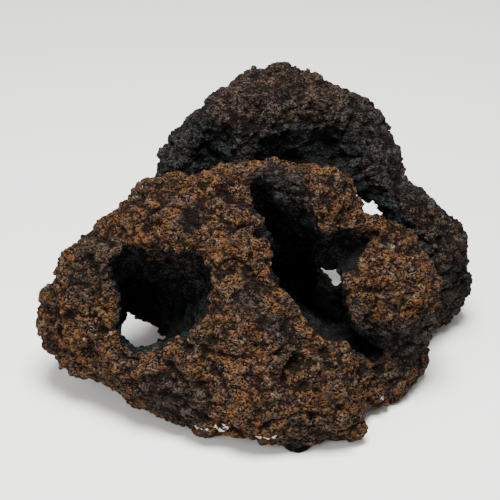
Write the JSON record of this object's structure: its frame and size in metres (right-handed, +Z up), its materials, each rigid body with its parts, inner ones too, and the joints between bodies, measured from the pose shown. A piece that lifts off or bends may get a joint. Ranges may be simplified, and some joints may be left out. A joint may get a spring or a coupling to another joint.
{
  "type": "carved lava rock",
  "caption": "Free-standing boulder of red-brown scoria with tunnels, a slanting slot and a doorway carved through it, as a hiding place in an aquarium.",
  "frame": {"origin": "middle of the bounding box's underside, on the level the rock rests on", "axes": "+X along the rock's long side, to the right of the carved face; -Y the way the carved face looks; +Z up"},
  "size_m": [0.2488, 0.1884, 0.1546],
  "materials": {
    "scoria": "dull, rough and porous"
  },
  "bodies": {
    "root": {"lava_rock": "scoria"}
  },
  "joints": []
}
